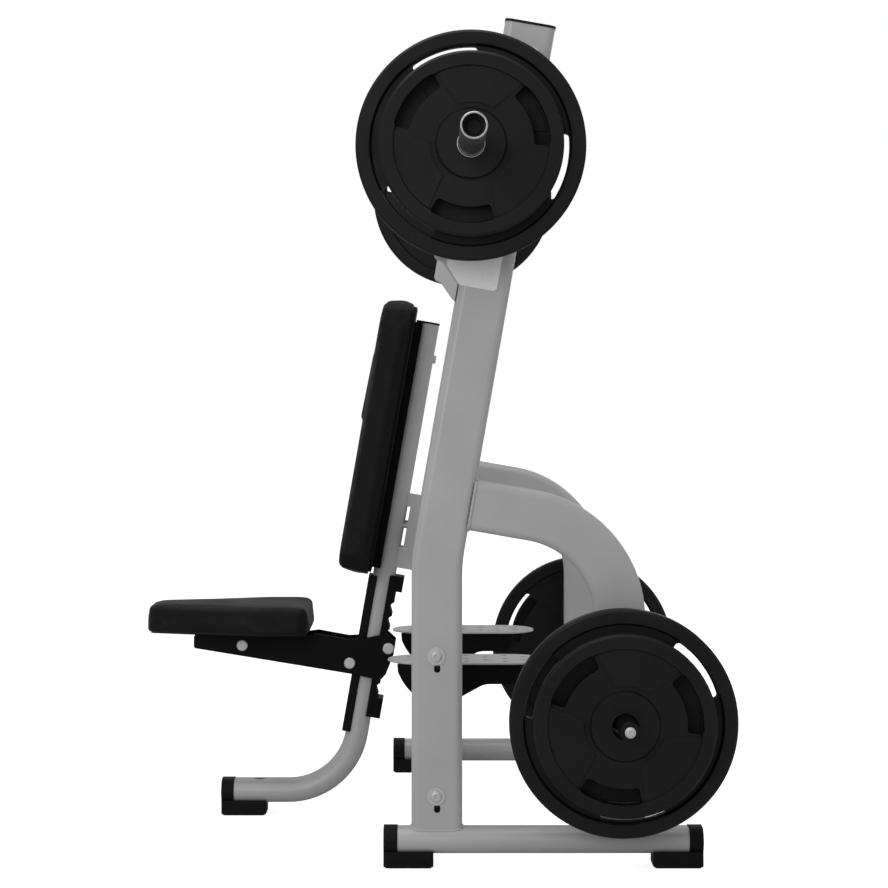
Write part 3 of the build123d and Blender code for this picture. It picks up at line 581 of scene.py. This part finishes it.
def raiseLumbar(local, inset, height):
    # a wedge-shaped panel across the pad: a step at its lower end that fades out upward
    share = (local[:, 1] - lumbar["low"]) / (lumbar["high"] - lumbar["low"])
    rise = lumbar["step"] + (lumbar["fade"] - lumbar["step"]) * np.clip(share, 0, 1)
    mask = np.clip((local[:, 1] - lumbar["low"]) / lumbar["edge"] + 0.5, 0, 1)
    mask = mask * np.clip((lumbar["high"] - local[:, 1]) / lumbar["edge"] + 0.5, 0, 1)
    mask = mask * np.clip((lumbar["half"] - np.abs(local[:, 0])) / lumbar["edge"] + 0.5, 0, 1)
    mask = mask * mask * (3 - 2 * mask)
    local[:, 2] += rise * mask * (height > 0.75)
    return local


backPad = makePad("backPad", "back_pad", "frame", backOutline, backSet, backFrame, raiseLumbar)


# hardware and trim
def ringPiece(name, rings, finish, body, closed=True):
    # skin over a row of rings with the same number of points; closed fills both ends
    count = len(rings[0])
    points = [point for ring in rings for point in ring]
    faces = []
    for row in range(len(rings) - 1):
        for index in range(count):
            after = (index + 1) % count
            a, b = row * count + index, row * count + after
            faces.append((a, b, b + count, a + count))
    if closed:
        faces.append(tuple(reversed(range(count))))
        faces.append(tuple(range((len(rings) - 1) * count, len(rings) * count)))
    piece = meshObject(name, points, faces, finish, body)
    shape = bmesh.new()
    shape.from_mesh(piece.data)
    bmesh.ops.recalc_face_normals(shape, faces=shape.faces)
    shape.to_mesh(piece.data)
    shape.free()
    return piece


def roundAbout(centre, axis, radius, along, count=40):
    # circle of points about an axis, some way along it
    axis = Vector(axis).normalized()
    first = axis.orthogonal().normalized()
    second = axis.cross(first)
    middle = Vector(centre) + axis * along
    turns = [2 * pi * k / count for k in range(count)]
    return [middle + (first * cos(a) + second * sin(a)) * radius for a in turns]


def hexAbout(centre, axis, radius, along, count=42):
    # the same number of points laid along a hexagon
    ring = roundAbout(centre, axis, 1.0, 0.0, count)
    middle = Vector(centre) + Vector(axis).normalized() * along
    points = []
    for k, point in enumerate(ring):
        turn = 2 * pi * k / count
        reach = cos(pi / 6) / cos((turn % (pi / 3)) - pi / 6)
        points.append(middle + (point - Vector(centre)) * radius * reach)
    return points


def socketHead(name, centre, axis, look, finish, body):
    # domed screw head with a hexagon socket
    count = 42
    rings = [roundAbout(centre, axis, r, h, count) for r, h in look["dome"]]
    crest = look["dome"][-1][1]
    rings += [hexAbout(centre, axis, look["socket"], crest - 0.0002, count)]
    rings += [hexAbout(centre, axis, look["socket"] * 0.97, crest - look["depth"], count)]
    piece = ringPiece(name, rings, finish, body)
    shadeByAngle(piece)


def shadeByAngle(piece, limit=32):
    shadeSmooth(piece)
    shape = bmesh.new()
    shape.from_mesh(piece.data)
    for edge in shape.edges:
        if len(edge.link_faces) == 2 and edge.calc_face_angle(0) > radians(limit):
            edge.smooth = False
    shape.to_mesh(piece.data)
    shape.free()


ripple = {"height": 0.16, "turn": 2.1}


def weldBead(name, points, radius, body):
    # closed rippled bead laid round a joint
    rings, count = [], len(points)
    for index, here in enumerate(points):
        ahead = (Vector(points[(index + 1) % count]) - Vector(points[index - 1])).normalized()
        size = radius * (1 + ripple["height"] * sin(index * ripple["turn"]))
        reference = Vector((0, 1, 0)) if abs(ahead.y) < 0.9 else Vector((1, 0, 0))
        side = (reference - ahead * reference.dot(ahead)).normalized()
        up = ahead.cross(side)
        turns = [2 * pi * k / 8 for k in range(8)]
        rings.append([Vector(here) + (side * cos(a) + up * sin(a)) * size for a in turns])
    piece = ringPiece(name, rings + rings[:1], "silver_paint", body, closed=False)
    mergePoints(piece, 0.00005)
    shadeSmooth(piece)


def boxLoop(centre, across, upward, half, corner, spacing=0.004):
    # rounded rectangle of evenly spaced points in a plane
    across, upward = Vector(across), Vector(upward)
    a, b = half
    outline = roundedOutline([(a, b), (-a, b), (-a, -b), (a, -b)], (corner,) * 4, 5)
    loop = []
    for index, point in enumerate(outline):
        after = outline[(index + 1) % len(outline)]
        steps = max(1, round((after - point).length / spacing))
        loop += [point.lerp(after, k / steps) for k in range(steps)]
    return [Vector(centre) + across * p.x + upward * p.y for p in loop]


tube = {"deep": 0.1016, "wide": 0.0508, "corner": 0.015, "bead": 0.0032}
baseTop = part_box("base_tube_left")[1].z
baseMiddle = {}
for side in ("left", "right"):
    baseLow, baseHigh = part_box(f"base_tube_{side}")
    baseMiddle[side] = (baseLow.y + baseHigh.y) / 2
flatHalf, roundR = 0.0127, 0.0254  # the base tube's flat top and its round edges


def dropOntoTube(points, middleY):
    # lowers a loop onto the rounded shoulders of the base tube
    for point in points:
        over = max(0.0, abs(point.y - middleY) - flatHalf)
        point.z = baseTop - (roundR - np.sqrt(max(roundR**2 - over**2, 0.0)))
    return points


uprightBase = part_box("upright_left")[0].x + tube["deep"] / 2
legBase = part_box("rear_leg_left")[1].x - tube["deep"] / 2
halfTube = (tube["deep"] / 2, tube["wide"] / 2)
uprightRear = leanBox("upright_caps")[1][0] - 0.0008  # the cap's lip stands out this far
for side in ("left", "right"):
    for name, middleX in (("uprightWeld", uprightBase), ("legWeld", legBase)):
        foot = (middleX, baseMiddle[side], baseTop)
        loop = boxLoop(foot, (1, 0, 0), (0, 1, 0), halfTube, tube["corner"])
        weldBead(f"{name}_{side}", dropOntoTube(loop, baseMiddle[side]), tube["bead"], "frame")
    legLow, legHigh = leanBox(f"rear_leg_{side}")
    rootUp = legHigh[2] - tube["deep"] / 2
    root = leanAxes @ Vector((uprightRear, baseMiddle[side], rootUp))
    upPost = leanAxes @ Vector((0, 0, 1))
    loop = boxLoop(root, upPost, (0, 1, 0), halfTube, tube["corner"])
    weldBead(f"legRootWeld_{side}", loop, tube["bead"], "frame")

crossbars = {  # half section, corner, thickness of the end flange
    "lower_crossbar": ((0.0381, 0.0254), 0.0252, 0.006),
    "step_crossbar": ((0.0381, 0.0254), 0.0252, 0.006),
    "back_crossbar": ((0.0254, 0.0508), 0.0148, 0),
}
flangedX = uprightBase - 0.0014
flangedZ = {"lower_crossbar": 0.104, "step_crossbar": 0.3526}  # their flanges hide the bars' own height
for bar, (half, corner, inset) in crossbars.items():
    barLow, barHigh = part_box(bar)
    middleX = flangedX if bar in flangedZ else (barLow.x + barHigh.x) / 2
    middleZ = flangedZ.get(bar, (barLow.z + barHigh.z) / 2)
    for side, sign in (("left", -1), ("right", 1)):
        face = sign * (barHigh.y - inset)
        loop = boxLoop((middleX, face, middleZ), (1, 0, 0), (0, 0, 1), half, corner)
        weldBead(f"{bar}Weld_{side}", loop, tube["bead"] * 0.9, "frame")
print("welds laid")

# screw heads: the dome is a row of radius and height
boltHead = {
    "dome": ((0.0108, -0.0005), (0.0108, 0.0006), (0.0098, 0.0016), (0.0078, 0.0024), (0.0058, 0.0028)),
    "socket": 0.0046, "depth": 0.0022,
}  # fmt: skip
hornHead = {
    "dome": ((0.0078, -0.0005), (0.0076, 0.0006), (0.0066, 0.0014), (0.0052, 0.0018)),
    "socket": 0.0040, "depth": 0.0015,
}  # fmt: skip
boltLow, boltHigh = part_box("frame_bolts")
boltX = (boltLow.x + boltHigh.x) / 2
washerR = (boltHigh.x - boltLow.x) / 2
hornLow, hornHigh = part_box("horn_bolts")
for side, sign in (("left", -1), ("right", 1)):
    for label, height in (("upper", boltHigh.z - washerR), ("lower", boltLow.z + washerR)):
        spot = (boltX, sign * boltHigh.y, height)
        socketHead(f"frameScrew_{label}_{side}", spot, (0, sign, 0), boltHead, "zinc_steel", "frame")
    spot = ((hornLow.x + hornHigh.x) / 2, sign * hornHigh.y, (hornLow.z + hornHigh.z) / 2)
    socketHead(f"hornScrew_{side}", spot, (0, sign, 0), hornHead, "zinc_steel", "frame")

# lip at each mouth of a plate's bore: bare steel on the bar, painted on the horns
lining = {"outer": 0.0274, "inner": 0.0259, "sunk": 0.0004, "proud": 0.0004, "soft": 0.0004}
lipProfile = (
    (lining["outer"], -lining["sunk"]),
    (lining["outer"], lining["proud"] - lining["soft"] / 2),
    (lining["outer"] - lining["soft"], lining["proud"]),
    (lining["inner"] + lining["soft"], lining["proud"]),
    (lining["inner"], lining["proud"] - lining["soft"]),
    (lining["inner"], -lining["sunk"]),
)
liningFinish = {"bar_plate_large": "zinc_steel", "bar_plate_small": "zinc_steel",
                "stored_plate_large": "plate_iron", "stored_plate_small": "plate_iron"}  # fmt: skip
for side, sign in (("left", -1), ("right", 1)):
    for kind, finish in liningFinish.items():
        plateLow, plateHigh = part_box(f"{kind}_{side}")
        centre = ((plateLow.x + plateHigh.x) / 2, 0, (plateLow.z + plateHigh.z) / 2)
        for label, face, out in (("outer", plateHigh.y, 1), ("inner", plateLow.y, -1)):
            at = (centre[0], face, centre[2])
            rings = [roundAbout(at, (0, out, 0), r, h, 56) for r, h in lipProfile]
            name = f"{kind}_{side}_{label}_lining"
            ring = ringPiece(name, rings + rings[:1], finish, f"{side}_{kind}", closed=False)
            mergePoints(ring, 0.00002)
            shadeByAngle(ring)
print("screw heads and linings set")

# blank round badge on each guard panel
badge = {
    "r": 0.0115, "fromRear": 0.024, "fromLow": 0.026,
    "profile": ((1.0, -0.0003), (1.0, 0.0008), (0.93, 0.0016), (0.84, 0.0016), (0.78, 0.0009),
                (0.3, 0.0013), (0.02, 0.0014)),  # share of the radius, height
}  # fmt: skip
for side, sign in (("left", -1), ("right", 1)):
    panelLow, panelHigh = leanBox(f"catch_panel_{side}")
    outer = panelHigh[1] if sign > 0 else panelLow[1]
    back, up = panelHigh[0] - badge["fromRear"], panelLow[2] + badge["fromLow"]
    spot = leanAxes @ Vector((back, outer, up))
    rings = [roundAbout(spot, (0, sign, 0), badge["r"] * r, h, 48) for r, h in badge["profile"]]
    shadeByAngle(ringPiece(f"badge_{side}", rings, "guard_panel", "frame"))
